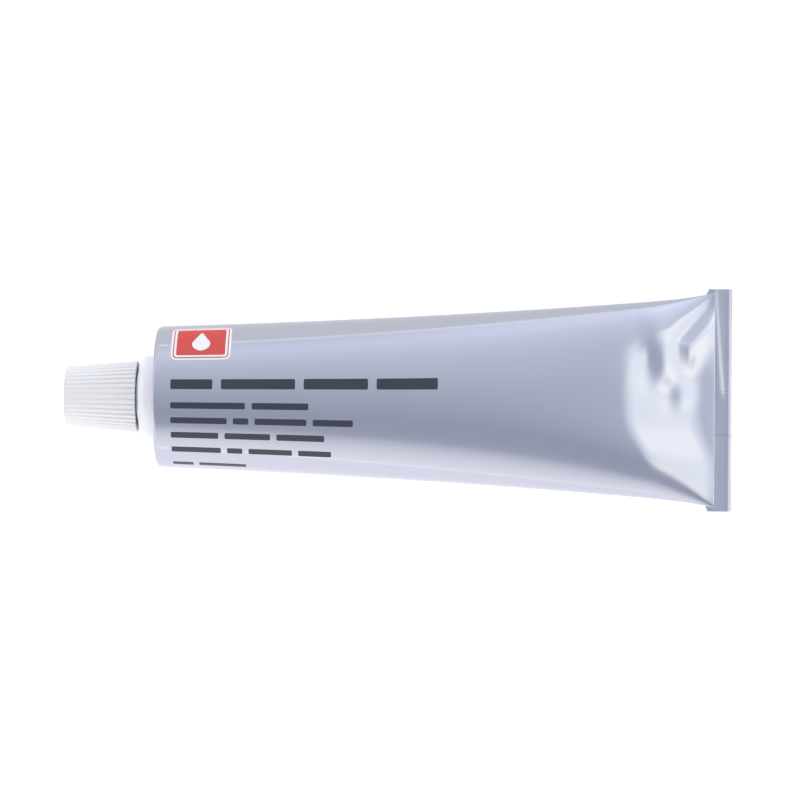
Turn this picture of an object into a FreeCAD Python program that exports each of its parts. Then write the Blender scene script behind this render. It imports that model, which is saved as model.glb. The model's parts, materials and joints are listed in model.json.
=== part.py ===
import FreeCAD, Part
import math
import os

import Sketcher

# A collapsible metal tube of sealant, lying on its belly, with a folded tail,
# a moulded collar round its neck and a ribbed screw cap with a liner.
# Each piece is drawn along the tube's own axis: X runs from the shoulder
# plane (X = 0) to the tail, the cap is on the -X side, and Z is up.
# The finished pieces are then tilted together, as the tube comes to rest.

# Driving dimensions in millimetres, degrees and counts
SIZES = {
    "tube_diameter": 30.0,
    "body_length": 118.8,
    "foil_wall": 0.15,
    "rim_radius": 1.1,
    "crimp_fullness": 0.982,
    "early_widening": 0.49,
    "late_widening": 0.12,
    "late_power": 30.0,
    "flat_start": 43.0,
    "flat_power": 3.5,
    "flat_share": 0.95,
    "flat_softness": 0.2,
    "press_start": 99.6,
    "press_run": 16.0,
    "press_front": 0.3,
    "kink_room": 0.15,
    "kink_before_crimp": 8.2,
    "kink_across": 12.4,
    "kink_corner_margin": 2.4,
    "kink_depth": 0.4,
    "kink_near": 3.9,
    "kink_far": 6.0,
    "dent_before_crimp": 14.6,
    "dent_across": 8.6,
    "dent_depth": 0.55,
    "dent_half_length": 3.4,
    "dent_half_width": 7.4,
    "dent_crown": 1.8,
    "rest_tilt": 3.9,
    "belly_flat_depth": 0.22,
    "strip_length": 3.7,
    "flap_length": 6.0,
    "fold_gap": 0.05,
    "corner_cut_along": 0.9,
    "corner_cut_across": 2.1,
    "neck_diameter": 11.0,
    "neck_length": 12.0,
    "neck_chamfer": 0.5,
    "mouth_diameter": 7.5,
    "membrane_depth": 0.4,
    "collar_diameter": 17.56,
    "collar_length": 3.56,
    "collar_chamfer": 1.1,
    "collar_clearance": 0.1,
    "cap_gap": 0.6,
    "cap_length": 15.24,
    "cap_mouth_diameter": 15.3,
    "cap_end_diameter": 12.6,
    "cap_corner_radius": 1.0,
    "cap_lead_in": 0.5,
    "thread_clearance": 0.2,
    "rib_count": 42,
    "groove_depth": 0.32,
    "groove_fade": 0.1,
    "groove_width": 0.62,
    "liner_thickness": 1.0,
    "liner_clearance": 0.25,
    "seal_gap": 0.05,
    "well_diameter": 8.4,
    "well_depth": 4.6,
    "spike_diameter": 3.0,
    "spike_recess": 0.8,
}

# Exponent of the oval perimeter rule (a^k + b^k)^(1/k), which is exact for a
# circle and for a flat strip
OVAL_POWER = math.log(2) / math.log(math.pi / 2)
# Shares of the body's length at which its cross-sections are drawn
STATIONS = (0.0, 0.12, 0.25, 0.4, 0.55, 0.68, 0.78, 0.86, 0.92, 0.96, 0.985, 1.0)
SECTION_POINTS = 64

doc = FreeCAD.newDocument("sealant_tube")
sheet = doc.addObject("Spreadsheet::Sheet", "sizes")


def add_cell(row, alias, content):
    """Write one value or formula to the sheet and name its cell."""
    sheet.set("A%d" % row, alias)
    sheet.set("B%d" % row, str(content))
    sheet.setAlias("B%d" % row, alias)


for number, (alias, value) in enumerate(SIZES.items(), start=1):
    add_cell(number, alias, value)
doc.recompute()


def size(alias):
    """The present value of a cell."""
    return float(getattr(sheet, alias))


# The shape of the filled body

def flat_half_width(radius):
    """Half the width of a round tube of this radius pressed quite flat."""
    return math.pi * radius / 2


def half_width(along):
    """Half the body's width: it grows slowly at first and fast at the tail."""
    share = along / size("body_length")
    radius = size("tube_diameter") / 2
    growth = flat_half_width(radius) * size("crimp_fullness") - radius
    early = size("early_widening")
    late = size("late_widening")
    middle = 1 - early - late
    spread = early * share + middle * share ** 2 + late * share ** size("late_power")
    return radius + growth * spread


def flat_part(along):
    """Half the width of the nearly flat middle, which starts part of the way down."""
    start = size("flat_start")
    if along <= start:
        return 0.0
    run = (along - start) / (size("body_length") - start)
    crimp_half = half_width(size("body_length"))
    return size("flat_share") * crimp_half * run ** size("flat_power")


def half_height(along):
    """Half the body's height, from a perimeter that stays that of the round tube."""
    radius = size("tube_diameter") / 2
    flat = flat_part(along)
    round_part = half_width(along) - flat
    round_limit = flat_half_width(radius - 2 * flat / math.pi)
    return (round_limit ** OVAL_POWER - round_part ** OVAL_POWER) ** (1 / OVAL_POWER)


def section_wire(along):
    """One closed cross-section: oval ends, drawn apart by the flat middle."""
    softness = size("flat_softness")
    flat = flat_part(along)
    round_part = half_width(along) - flat
    height = half_height(along)
    points = []
    for number in range(SECTION_POINTS):
        angle = 2 * math.pi * number / SECTION_POINTS
        side = math.cos(angle) * math.sqrt(1 + softness ** 2)
        side = side / math.sqrt(math.cos(angle) ** 2 + softness ** 2)
        across = flat * side + round_part * math.cos(angle)
        points.append(FreeCAD.Vector(along, across, height * math.sin(angle)))
    curve = Part.BSplineCurve()
    knots = [number / SECTION_POINTS for number in range(SECTION_POINTS + 1)]
    curve.interpolate(Points=points, PeriodicFlag=True, Parameters=knots)
    return Part.Wire([curve.toShape()])


# Where the tilted tube meets the ground

def table_depth():
    """How far below the shoulder's centre the round belly reaches, once tilted."""
    tilt = math.radians(size("rest_tilt"))
    steps = 400
    depths = []
    for number in range(steps):
        along = size("body_length") * number / steps
        depths.append(math.sin(tilt) * along + math.cos(tilt) * half_height(along))
    return max(depths)


DERIVED = {
    "stand_height": table_depth() - size("belly_flat_depth"),
    "press_height": half_height(size("press_start")),
    "fold_width": "=pi * tube_diameter / 2 + 2 * foil_wall",
    "layer": "=2 * foil_wall",
    "stack_step": "=layer + fold_gap",
    "fold_end": "=body_length + strip_length",
    "outer_bend": "=1.5 * layer + fold_gap",
    "inner_bend": "=0.5 * layer + fold_gap",
    "cap_mouth_place": "=collar_length + cap_gap",
    "cap_end_place": "=cap_mouth_place + cap_length",
    "bore_diameter": "=neck_diameter + 2 * thread_clearance",
    "liner_place": "=neck_length + seal_gap",
    "bore_end_place": "=liner_place + liner_thickness + seal_gap",
    "liner_diameter": "=bore_diameter - 2 * liner_clearance",
}
for number, (alias, content) in enumerate(DERIVED.items(), start=len(SIZES) + 1):
    add_cell(number, alias, content)
doc.recompute()


# Small helpers for sketches and features

def origin_plane(body, role):
    """One of a body's own origin planes, by its role."""
    for feature in body.Origin.OriginFeatures:
        if feature.Role == role:
            return feature
    raise RuntimeError("no plane " + role)


def add_sketch(body, name, role, offset=None):
    """An empty sketch on one of the body's origin planes."""
    sketch = body.newObject("Sketcher::SketchObject", name)
    sketch.AttachmentSupport = [(origin_plane(body, role), "")]
    sketch.MapMode = "FlatFace"
    if offset is not None:
        sketch.setExpression("AttachmentOffset.Base.z", offset)
    return sketch


def value_of(expression):
    """What an expression of sheet names comes to now."""
    sheet.set("D1", "=" + expression)
    sheet.recompute()
    result = float(sheet.get("D1"))
    sheet.clear("D1")
    return result


def bound(expression):
    """The same expression with each sheet name made a reference to the sheet."""
    words = []
    word = ""
    for letter in expression + " ":
        if letter.isalnum() or letter == "_":
            word += letter
            continue
        if word in SIZES or word in DERIVED:
            word = "sizes." + word
        words.append(word + letter)
        word = ""
    return "".join(words).strip()


def closed_outline(sketch, corners):
    """Straight edges through corners given as pairs of expressions.

    Each corner is held by its distances from the sketch's two axes.
    """
    points = []
    for across, up in corners:
        points.append(FreeCAD.Vector(value_of(across), value_of(up), 0))
    count = len(points)
    lines = []
    for number in range(count):
        following = points[(number + 1) % count]
        lines.append(sketch.addGeometry(Part.LineSegment(points[number], following), False))
    for number in range(count):
        following = lines[(number + 1) % count]
        sketch.addConstraint(Sketcher.Constraint("Coincident", lines[number], 2, following, 1))
    for number, (across, up) in enumerate(corners):
        hold(sketch, "DistanceX", lines[number], points[number].x, across)
        hold(sketch, "DistanceY", lines[number], points[number].y, up)
    return lines


def hold(sketch, kind, line, value, expression):
    """Tie the start of a line to the sketch's origin along one axis."""
    if abs(value) < 1e-9:
        axis = -2 if kind == "DistanceX" else -1
        sketch.addConstraint(Sketcher.Constraint("PointOnObject", line, 1, axis))
        return
    if value > 0:
        constraint = Sketcher.Constraint(kind, -1, 1, line, 1, value)
        formula = bound(expression)
    else:
        constraint = Sketcher.Constraint(kind, line, 1, -1, 1, -value)
        formula = "-(" + bound(expression) + ")"
    index = sketch.addConstraint(constraint)
    sketch.setExpression("Constraints[%d]" % index, formula)


def revolve(body, kind, name, sketch):
    """Turn a profile, drawn above the X axis, right round that axis."""
    feature = body.newObject(kind, name)
    feature.Profile = sketch
    feature.ReferenceAxis = (sketch, ["H_Axis"])
    feature.Angle = 360
    return feature


def cut_through(body, name, sketch):
    """Cut a profile out of the whole width of a body, both ways."""
    feature = body.newObject("PartDesign::Pocket", name)
    feature.Profile = sketch
    feature.Type = "ThroughAll"
    feature.SideType = "Symmetric"
    return feature


def edges_at(shape, test):
    """Names of the edges whose boxes pass a test."""
    names = []
    for number, edge in enumerate(shape.Edges, start=1):
        if test(edge.BoundBox):
            names.append("Edge%d" % number)
    return names


# Tube: filled body, shoulder, neck and folded tail, one solid

def make_body_skin():
    """The pillow-like body, lofted through its cross-sections."""
    sections = []
    for number, share in enumerate(STATIONS):
        section = doc.addObject("Part::Feature", "body_section_%02d" % number)
        section.Shape = section_wire(share * size("body_length"))
        sections.append(section)
    skin = doc.addObject("Part::Loft", "body_skin")
    skin.Sections = sections
    skin.Solid = True
    skin.Ruled = False
    return skin


def press_tail(body):
    """The tail's broad facets, front and back, down to the pressed flat land."""
    front = add_sketch(body, "front_press_profile", "XZ_Plane")
    clear = "tube_diameter"
    closed_outline(front, [
        ("press_start - press_run", "2 * press_height - press_front"),
        ("press_start + press_run", "press_front"),
        ("body_length + press_run", "press_front"),
        ("body_length + press_run", clear),
        ("press_start - press_run", clear),
    ])
    cut_through(body, "front_press", front)
    back = add_sketch(body, "back_press_profile", "XZ_Plane")
    closed_outline(back, [
        ("press_start - press_run", "foil_wall - 2 * press_height"),
        ("press_start + press_run", "-foil_wall"),
        ("body_length + press_run", "-foil_wall"),
        ("body_length + press_run", "-" + clear),
        ("press_start - press_run", "-" + clear),
    ])
    cut_through(body, "back_press", back)


def face_height(place):
    """An expression for the front face's height at a place along the jaws' slope."""
    fall = "(press_height - press_front) / press_run"
    return "(press_front + " + fall + " * (press_start + press_run - (" + place + ")))"


def kink_section(body, name, place, foot, wing_height, near, far):
    """A shallow V across the kink, drawn across the tube at one place along it.

    The foot is a pair of expressions, across and up. The wings end at the
    wing height, just over the face, and reach out by the near and far width.
    """
    sketch = add_sketch(body, name, "YZ_Plane", bound(place))
    across = foot[0]
    closed_outline(sketch, [
        (across + " - " + near, wing_height),
        foot,
        (across + " + " + far, wing_height),
    ])
    return sketch


def add_kink(body):
    """The kink in the foil that runs in from a corner of the crimp and deepens as it goes."""
    inner_place = "(body_length - kink_before_crimp)"
    face = face_height(inner_place)
    inner = kink_section(body, "kink_inner_end", inner_place, ("kink_across", face + " - kink_depth"),
                         face + " + kink_room", "kink_near", "kink_far")
    margin = "(fold_width / 2 - kink_corner_margin)"
    outer = kink_section(body, "kink_outer_end", "body_length", (margin, "press_front + kink_room / 4"),
                         "press_front + kink_room", "kink_near / 4", "kink_far / 4")
    kink = body.newObject("PartDesign::SubtractiveLoft", "corner_kink")
    kink.Profile = inner
    kink.Sections = [outer]
    kink.Ruled = True
    return kink


def add_dent(body):
    """The shallow oval dent in the front face, left by a thumb."""
    place = "(body_length - dent_before_crimp)"
    dent = body.newObject("PartDesign::SubtractiveEllipsoid", "thumb_dent")
    slope = math.atan((value_of("press_height") - size("press_front")) / size("press_run"))
    dent.AttachmentSupport = [(origin_plane(body, "XY_Plane"), "")]
    dent.MapMode = "FlatFace"
    dent.AttachmentOffset = FreeCAD.Placement(
        FreeCAD.Vector(0, 0, 0), FreeCAD.Rotation(FreeCAD.Vector(0, 1, 0), math.degrees(slope)))
    dent.setExpression("AttachmentOffset.Base.x", bound(place))
    dent.setExpression("AttachmentOffset.Base.y", "sizes.dent_across")
    dent.setExpression("AttachmentOffset.Base.z", bound(face_height(place) + " + dent_crown - dent_depth"))
    dent.setExpression("Radius1", "sizes.dent_crown")
    dent.setExpression("Radius2", "sizes.dent_half_length")
    dent.setExpression("Radius3", "sizes.dent_half_width")
    return dent


def flatten_belly(body):
    """The small flat that the tube's own weight presses into its belly."""
    ground = add_sketch(body, "ground_profile", "XZ_Plane")
    reach = "body_length"
    closed_outline(ground, [
        ("0", "-stand_height / cos(rest_tilt)"),
        (reach, "-stand_height / cos(rest_tilt) + body_length * tan(rest_tilt)"),
        (reach, "-2 * tube_diameter"),
        ("0", "-2 * tube_diameter"),
    ])
    cut_through(body, "belly_flat", ground)


def add_neck(body):
    """The neck that the collar and the cap sit on, closed by a thin membrane."""
    profile = add_sketch(body, "neck_profile", "XZ_Plane")
    closed_outline(profile, [
        ("foil_wall", "0"),
        ("foil_wall", "neck_diameter / 2"),
        ("-neck_length + neck_chamfer", "neck_diameter / 2"),
        ("-neck_length", "neck_diameter / 2 - neck_chamfer"),
        ("-neck_length", "mouth_diameter / 2"),
        ("-neck_length + membrane_depth", "mouth_diameter / 2"),
        ("-neck_length + membrane_depth", "0"),
    ])
    return revolve(body, "PartDesign::Revolution", "neck", profile)


def fold_profile(sketch):
    """The tail strip's side view: front layer, bend, back layer, bend, tucked layer.

    The strip is the two pressed walls together. It leaves the body at the
    crimp line, turns back under itself at the fold's edge, and its free end
    is tucked forward again between the two.
    """
    half = size("foil_wall")
    step = value_of("stack_step")
    outer = value_of("outer_bend")
    inner = value_of("inner_bend")
    end = value_of("fold_end")
    start = end - size("flap_length")
    tuck = start + half + inner
    right_centre = FreeCAD.Vector(end - outer, -step, 0)
    left_centre = FreeCAD.Vector(tuck, -1.5 * step, 0)
    small = size("fold_gap") / 2
    large = 2 * half + small
    tip = end - outer - size("fold_gap")
    root = size("body_length") - 1.0

    def arc(centre, radius, first, last):
        circle = Part.Circle(centre, FreeCAD.Vector(0, 0, 1), radius)
        return Part.ArcOfCircle(circle, math.radians(first), math.radians(last))

    def line(ax, ay, bx, by):
        return Part.LineSegment(FreeCAD.Vector(ax, ay, 0), FreeCAD.Vector(bx, by, 0))

    top = half
    front_low = -half
    tuck_top = -step + half
    tuck_low = -step - half
    back_top = -2 * step + half
    back_low = -2 * step - half
    pieces = [
        line(root, top, right_centre.x, top),
        arc(right_centre, outer, -90, 90),
        line(right_centre.x, back_low, left_centre.x, back_low),
        arc(left_centre, large, 90, 270),
        line(left_centre.x, tuck_top, tip, tuck_top),
        line(tip, tuck_top, tip, tuck_low),
        line(tip, tuck_low, left_centre.x, tuck_low),
        arc(left_centre, small, 90, 270),
        line(left_centre.x, back_top, right_centre.x, back_top),
        arc(right_centre, inner, -90, 90),
        line(right_centre.x, front_low, root, front_low),
        line(root, front_low, root, top),
    ]
    for piece in pieces:
        sketch.addGeometry(piece, False)


def add_fold(body):
    """The folded tail: three layers of pressed wall, right across the tube."""
    profile = add_sketch(body, "fold_profile", "XZ_Plane")
    fold_profile(profile)
    strip = body.newObject("PartDesign::Pad", "folded_tail")
    strip.Profile = profile
    strip.SideType = "Symmetric"
    strip.setExpression("Length", "sizes.fold_width")
    return strip


def trim_fold_corners(body):
    """The slanted inner corners of the back flap, both sides."""
    for name, side in (("left_corner", ""), ("right_corner", "-")):
        sketch = add_sketch(body, name + "_profile", "XY_Plane", "-sizes.foil_wall - sizes.fold_gap / 4")
        edge = side + "(fold_width / 2 + corner_cut_along)"
        closed_outline(sketch, [
            ("fold_end - flap_length - corner_cut_along", edge),
            ("fold_end - flap_length + corner_cut_along", edge),
            ("fold_end - flap_length + corner_cut_along", side + "(fold_width / 2)"),
            ("fold_end - flap_length", side + "(fold_width / 2 - corner_cut_across)"),
            ("fold_end - flap_length - corner_cut_along", side + "(fold_width / 2 - corner_cut_across)"),
        ])
        cut = body.newObject("PartDesign::Pocket", name + "_cut")
        cut.Profile = sketch
        cut.setExpression("Length", "6 * sizes.layer")
        cut.Reversed = False


def make_tube():
    """The whole tube, as one body."""
    skin = make_body_skin()
    doc.recompute()
    body = doc.addObject("PartDesign::Body", "tube")
    body.Label = "tube"
    body.BaseFeature = skin
    doc.recompute()
    rim = body.newObject("PartDesign::Fillet", "shoulder_rim")
    base = body.Group[0]
    rim.Base = (base, edges_at(base.Shape, lambda box: box.XMax < size("rim_radius")))
    rim.setExpression("Radius", "sizes.rim_radius")
    doc.recompute()
    press_tail(body)
    doc.recompute()
    add_kink(body)
    doc.recompute()
    add_dent(body)
    doc.recompute()
    flatten_belly(body)
    doc.recompute()
    add_neck(body)
    doc.recompute()
    add_fold(body)
    doc.recompute()
    trim_fold_corners(body)
    doc.recompute()
    return body


# Collar: a moulded ring on the shoulder

def make_collar():
    """The ring round the neck's foot, chamfered towards the cap."""
    body = doc.addObject("PartDesign::Body", "neck_collar")
    body.Label = "neck_collar"
    profile = add_sketch(body, "collar_profile", "XZ_Plane")
    closed_outline(profile, [
        ("0", "neck_diameter / 2 + collar_clearance"),
        ("0", "collar_diameter / 2"),
        ("-collar_length + collar_chamfer", "collar_diameter / 2"),
        ("-collar_length", "collar_diameter / 2 - collar_chamfer"),
        ("-collar_length", "neck_diameter / 2 + collar_clearance"),
    ])
    revolve(body, "PartDesign::Revolution", "collar_ring", profile)
    return body


# Liner: the sealing disc in the cap

def make_liner():
    """The soft disc that the cap presses on the mouth of the neck."""
    body = doc.addObject("PartDesign::Body", "cap_liner")
    body.Label = "cap_liner"
    profile = add_sketch(body, "liner_profile", "XZ_Plane")
    closed_outline(profile, [
        ("-liner_place", "0"),
        ("-liner_place", "liner_diameter / 2"),
        ("-liner_place - liner_thickness", "liner_diameter / 2"),
        ("-liner_place - liner_thickness", "0"),
    ])
    revolve(body, "PartDesign::Revolution", "liner_disc", profile)
    return body


# Cap: a tapered, ribbed screw cap with a piercing spike in its end

def cap_outline(sketch):
    """Half the cap's section: outside, end well with its spike, and threaded bore."""
    return closed_outline(sketch, [
        ("-cap_mouth_place", "bore_diameter / 2 + cap_lead_in"),
        ("-cap_mouth_place", "cap_mouth_diameter / 2"),
        ("-cap_end_place", "cap_end_diameter / 2"),
        ("-cap_end_place", "well_diameter / 2"),
        ("-cap_end_place + well_depth", "well_diameter / 2"),
        ("-cap_end_place + well_depth", "spike_diameter / 2"),
        ("-cap_end_place + spike_recess", "0"),
        ("-bore_end_place", "0"),
        ("-bore_end_place", "bore_diameter / 2"),
        ("-cap_mouth_place - cap_lead_in", "bore_diameter / 2"),
    ])


def groove_triangle(body, name, place, crest, depth):
    """A notch in the cap's outside, drawn across the axis at one place along it."""
    sketch = add_sketch(body, name, "YZ_Plane", bound(place))
    closed_outline(sketch, [
        ("0", crest + " - " + depth),
        ("groove_width / 2", crest + " + groove_width / 4"),
        ("-groove_width / 2", crest + " + groove_width / 4"),
    ])
    return sketch


def add_grip_grooves(body):
    """Fine grooves along the cap, deep at the mouth and fading to its end."""
    mouth = groove_triangle(body, "groove_at_mouth", "-cap_mouth_place + cap_gap / 2",
                            "cap_mouth_diameter / 2", "groove_depth")
    end = groove_triangle(body, "groove_at_end", "-cap_end_place - cap_gap / 2",
                          "cap_end_diameter / 2", "groove_fade")
    groove = body.newObject("PartDesign::SubtractiveLoft", "grip_groove")
    groove.Profile = mouth
    groove.Sections = [end]
    groove.Ruled = True
    doc.recompute()
    ring = body.newObject("PartDesign::PolarPattern", "grip_grooves")
    ring.Originals = [groove]
    ring.Axis = (origin_plane(body, "X_Axis"), [""])
    ring.Angle = 360
    ring.setExpression("Occurrences", "sizes.rib_count")
    body.Tip = ring
    return ring


def make_cap():
    """The screw cap."""
    body = doc.addObject("PartDesign::Body", "cap")
    body.Label = "cap"
    profile = add_sketch(body, "cap_profile", "XZ_Plane")
    cap_outline(profile)
    shell = revolve(body, "PartDesign::Revolution", "cap_shell", profile)
    doc.recompute()
    corner = body.newObject("PartDesign::Fillet", "cap_corner")
    end_place = value_of("cap_end_place")
    end_radius = size("cap_end_diameter") / 2

    def is_outer_corner(box):
        return abs(box.XMin + end_place) < 0.1 and box.XLength < 0.1 and box.ZMax > end_radius - 0.1

    corner.Base = (shell, edges_at(shell.Shape, is_outer_corner))
    corner.setExpression("Radius", "sizes.cap_corner_radius")
    doc.recompute()
    add_grip_grooves(body)
    doc.recompute()
    return body


# The tilted rest pose of all the pieces

def place_at_rest(body, centre):
    """Tilt a piece with the tube and stand it on the ground, centred."""
    tilt = math.radians(size("rest_tilt"))
    body.Placement = FreeCAD.Placement(
        FreeCAD.Vector(-centre, 0, size("stand_height")),
        FreeCAD.Rotation(FreeCAD.Vector(0, 1, 0), math.degrees(tilt)))
    body.setExpression("Placement.Base.z", "sizes.stand_height")
    body.setExpression("Placement.Rotation.Angle", "sizes.rest_tilt")


def middle_of_length():
    """Where the middle of the tilted tube's length lies, along the ground."""
    tilt = math.radians(size("rest_tilt"))
    corner_height = size("cap_end_diameter") / 2 - size("cap_corner_radius")
    left = -math.cos(tilt) * value_of("cap_end_place") - math.sin(tilt) * corner_height
    fold_height = -value_of("stack_step")
    bend_centre = value_of("fold_end") - value_of("outer_bend")
    right = math.cos(tilt) * bend_centre + math.sin(tilt) * fold_height + value_of("outer_bend")
    return (left + right) / 2


def main():
    """Build, check and write every piece."""
    pieces = [make_tube(), make_collar(), make_liner(), make_cap()]
    doc.recompute()
    centre = middle_of_length()
    for piece in pieces:
        place_at_rest(piece, centre)
    doc.recompute()
    for thing in doc.Objects:
        if "Invalid" in thing.State or "Error" in thing.State:
            raise RuntimeError(thing.Name + " failed: " + str(thing.State))
    for piece in pieces:
        shape = piece.Shape
        if shape.isNull() or not shape.isValid() or len(shape.Solids) != 1:
            raise RuntimeError(piece.Label + " is not one valid solid")
    os.makedirs("parts", exist_ok=True)
    for piece in pieces:
        piece.Shape.exportStep("parts/" + piece.Label + ".step")
        box = piece.Shape.BoundBox
        print("%-12s volume %9.1f  x %7.2f %7.2f  y %6.2f %6.2f  z %6.2f %6.2f" % (
            piece.Label, piece.Shape.Volume, box.XMin, box.XMax, box.YMin, box.YMax, box.ZMin, box.ZMax))


main()
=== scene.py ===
"""A collapsible metal sealant tube, lying on its belly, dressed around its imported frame.

The tube's printed foil body, its neck and folded tail, the collar and the ribbed screw cap are
surfaces worked out along the tube's own axis, in millimetres, and then laid in the row's frame.
"""
import json
import logging
import math
from dataclasses import dataclass
from enum import Enum
from typing import Callable, Optional, Sequence

import bpy
import numpy as np
from bpy.types import Material, Node, NodeSocket, NodeTree, Object
from mathutils import Matrix, Vector


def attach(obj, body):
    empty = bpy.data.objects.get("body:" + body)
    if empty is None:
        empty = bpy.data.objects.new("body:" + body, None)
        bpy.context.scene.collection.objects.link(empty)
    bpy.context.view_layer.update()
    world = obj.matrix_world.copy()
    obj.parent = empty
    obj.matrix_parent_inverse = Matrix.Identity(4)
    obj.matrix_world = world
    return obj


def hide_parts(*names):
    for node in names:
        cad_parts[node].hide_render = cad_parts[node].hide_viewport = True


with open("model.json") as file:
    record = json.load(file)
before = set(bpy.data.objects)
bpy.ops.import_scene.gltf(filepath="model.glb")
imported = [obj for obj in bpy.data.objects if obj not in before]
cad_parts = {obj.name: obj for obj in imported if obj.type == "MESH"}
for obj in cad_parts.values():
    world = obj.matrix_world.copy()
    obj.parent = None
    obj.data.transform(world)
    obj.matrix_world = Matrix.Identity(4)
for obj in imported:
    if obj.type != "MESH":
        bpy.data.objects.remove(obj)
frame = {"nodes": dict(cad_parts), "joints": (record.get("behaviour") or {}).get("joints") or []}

logging.basicConfig(level=logging.INFO, format="%(message)s")
LOG = logging.getLogger("sealant_tube")

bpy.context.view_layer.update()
MM = 0.001
OVAL_POWER = math.log(2) / math.log(math.pi / 2)
ARC_STEPS = 7
FINE_STEPS = 4001
TINY = 1e-6
SMALL_ROUNDING = 0.3
Relief = Callable[[np.ndarray, np.ndarray, np.ndarray], np.ndarray]


class Slot(Enum):
    """Names of the record's material slots, one passed with each built piece."""

    LACQUER = "silver_lacquer"
    COLLAR = "collar_plastic"
    CAP = "cap_plastic"
    DARK_INK = "dark_ink"
    RED_INK = "red_ink"
    WHITE_INK = "white_ink"


class Body(Enum):
    """The frame's bodies that the built pieces ride on."""

    TUBE = "tube"
    CAP = "cap"


def linear(hex_colour: str) -> tuple[float, float, float, float]:
    """Turn an sRGB hex colour into linear light.

    Args:
        hex_colour: six hex digits, with or without a leading hash mark.

    Returns:
        Linear red, green, blue and an alpha of one.
    """
    digits = hex_colour.lstrip("#")
    channels = []
    for start in (0, 2, 4):
        value = int(digits[start:start + 2], 16) / 255
        channels.append(value / 12.92 if value <= 0.04045 else ((value + 0.055) / 1.055) ** 2.4)
    return channels[0], channels[1], channels[2], 1.0


# The tube's own axes

@dataclass(frozen=True)
class TubeAxes:
    """The tube's own axes in the row's frame.

    X runs from the shoulder's plane to the tail, Y across and Z up, and the whole is tilted about
    Y, because the tube rests on its belly.
    """

    tilt: float
    shoulder: tuple[float, float, float]

    @classmethod
    def from_frame(cls, mouth_place: float) -> "TubeAxes":
        """Read the tilt and the shoulder's centre from the cap's joint.

        Args:
            mouth_place: millimetres from the shoulder to the cap's mouth, where the joint stands.
        """
        joint = next(item for item in frame["joints"] if item["name"] == "cap_turn")
        axis = np.array(joint["axis"])
        shoulder = np.array(joint["pos_m"]) - axis * mouth_place * MM
        return cls(tilt=math.atan2(axis[2], -axis[0]), shoulder=tuple(shoulder))

    def lay(self, points: np.ndarray) -> np.ndarray:
        """Points along the tube, in millimetres, as places in the row's frame, in metres."""
        cosine, sine = math.cos(self.tilt), math.sin(self.tilt)
        along, across, up = points[..., 0], points[..., 1], points[..., 2]
        turned = np.stack([cosine * along + sine * up, across, cosine * up - sine * along], axis=-1)
        return turned * MM + np.array(self.shoulder)


# Mesh building

def grid_quads(rows: int, columns: int, wrap: bool) -> np.ndarray:
    """Corner numbers of the quads of a grid of vertices.

    Args:
        rows: how many rows of vertices there are.
        columns: how many vertices a row has.
        wrap: whether the last column joins the first.
    """
    row, column = np.meshgrid(np.arange(rows - 1), np.arange(columns if wrap else columns - 1), indexing="ij")
    following = (column + 1) % columns
    corners = [row * columns + column, row * columns + following,
               (row + 1) * columns + following, (row + 1) * columns + column]
    return np.stack(corners, axis=-1).reshape(-1, 4)


def signed_volume(points: np.ndarray, faces: np.ndarray) -> float:
    """Six times the volume inside a closed set of quads, negative where they face inwards."""
    a, b, c, d = (points[faces[:, number]] for number in range(4))
    first = np.einsum("ij,ij->i", a, np.cross(b, c)).sum()
    return float(first + np.einsum("ij,ij->i", a, np.cross(c, d)).sum())


def facing_out(points: np.ndarray, quads: np.ndarray) -> np.ndarray:
    """A closed set of quads, all turned over if they face inwards."""
    return quads[:, ::-1] if signed_volume(points, quads) < 0 else quads


def make_object(name: str, points: np.ndarray, quads: np.ndarray, triangles: Sequence[Sequence[int]],
                material: Material, crease: Optional[float] = None) -> Object:
    """Put vertices and faces into a new smooth-shaded object at the origin.

    Args:
        name: the piece's name.
        points: vertices in metres, one row each.
        quads: four corner numbers a row.
        triangles: three corner numbers a row.
        material: what the piece is made of.
        crease: an angle in degrees past which an edge stays sharp.
    """
    mesh = bpy.data.meshes.new(name)
    mesh.from_pydata(points.tolist(), [], quads.tolist() + [list(item) for item in triangles])
    mesh.polygons.foreach_set("use_smooth", np.ones(len(mesh.polygons), dtype=bool))
    mesh.update()
    if crease is not None:
        mesh.set_sharp_from_angle(angle=math.radians(crease))
    mesh.materials.append(material)
    piece = bpy.data.objects.new(name, mesh)
    bpy.context.scene.collection.objects.link(piece)
    return piece


def close_with_poles(points: np.ndarray, first_pole: Optional[np.ndarray],
                     last_pole: Optional[np.ndarray]) -> tuple[np.ndarray, np.ndarray, list[list[int]]]:
    """Flatten a wrapped grid and close its ends to single points.

    Args:
        points: rows by columns by three, the columns running round.
        first_pole: the point that closes the first row, if any.
        last_pole: the point that closes the last row, if any.

    Returns:
        All vertices, the quads and the triangles of the fans.
    """
    rows, columns = points.shape[:2]
    vertices = points.reshape(-1, 3)
    quads = grid_quads(rows, columns, wrap=True)
    fans: list[list[int]] = []
    turn = np.arange(columns)
    following = (turn + 1) % columns
    if first_pole is not None:
        centre = len(vertices)
        vertices = np.vstack([vertices, first_pole])
        fans += np.stack([following, turn, np.full(columns, centre)], axis=-1).tolist()
    if last_pole is not None:
        centre = len(vertices)
        vertices = np.vstack([vertices, last_pole])
        start = (rows - 1) * columns
        fans += np.stack([start + turn, start + following, np.full(columns, centre)], axis=-1).tolist()
    if signed_volume(vertices, quads) < 0:
        quads = quads[:, ::-1]
        fans = [item[::-1] for item in fans]
    return vertices, quads, fans


def finish_piece(piece: Object, body: Body, slot: Slot, *nodes: str) -> Object:
    """Let a piece ride on its body, hide the frame's nodes it stands for, and report it."""
    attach(piece, body.value)
    if nodes:
        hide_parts(*nodes)
    LOG.info("%s: %d faces on %s", piece.name, len(piece.data.polygons), body.value)
    return piece


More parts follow.
